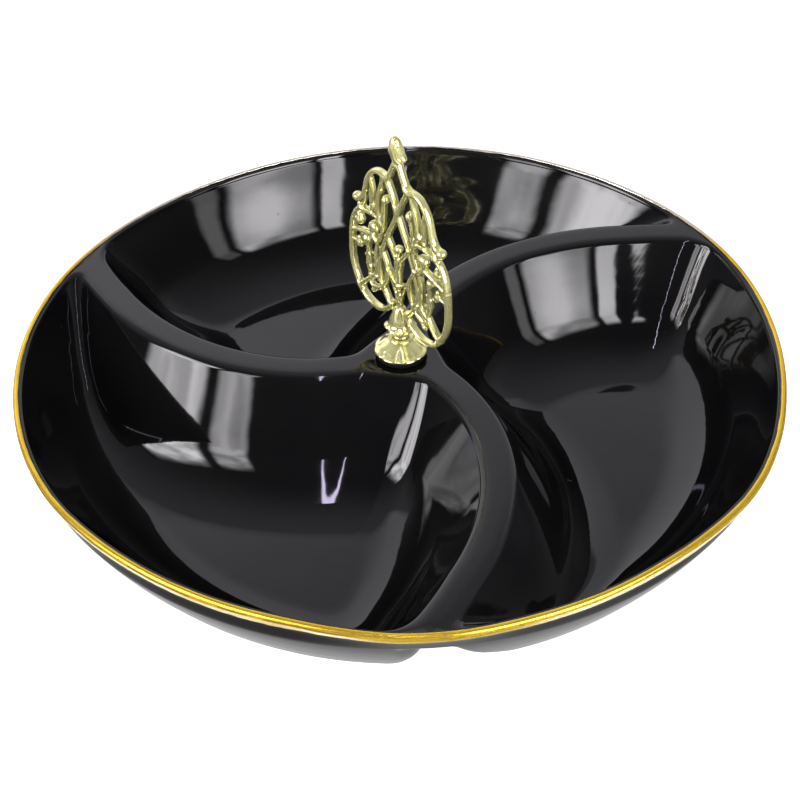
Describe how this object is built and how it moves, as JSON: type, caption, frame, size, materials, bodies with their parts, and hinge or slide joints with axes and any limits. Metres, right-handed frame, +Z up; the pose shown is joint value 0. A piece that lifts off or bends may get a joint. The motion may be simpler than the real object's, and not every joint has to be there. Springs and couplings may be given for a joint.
{
  "type": "divided serving dish",
  "caption": "Round glazed dish parted by swirling ridges into food compartments, with a gilded rim and an openwork centre handle on a clamped rosette.",
  "frame": {"origin": "dish axis on the plane the dish stands on", "axes": "+Z up along the dish axis; -Y is the side the picture was taken from; +X to the right of it"},
  "size_m": [0.254, 0.254, 0.1227],
  "materials": {
    "glaze": "high gloss",
    "lustre": "fired gold lustre",
    "handle_gold": "polished pale gold plate",
    "rubber": "matte",
    "steel": "zinc plated"
  },
  "bodies": {
    "dish": {"dish_body": "glaze", "rim_gilding": "lustre", "seat_gasket": "rubber", "lower_gasket": "rubber"},
    "handle": {"base_rosette": "handle_gold", "bell_calyx": "handle_gold", "filigree_panel": "handle_gold", "finial_bud": "handle_gold", "clamp_screw": "steel", "clamp_washer": "steel"}
  },
  "joints": [
    {"name": "handle_swivel", "type": "hinge", "parent": "dish", "child": "handle", "pos_m": [0, 0, 0.0414], "axis": [0, 0, 1], "continuous": true}
  ]
}
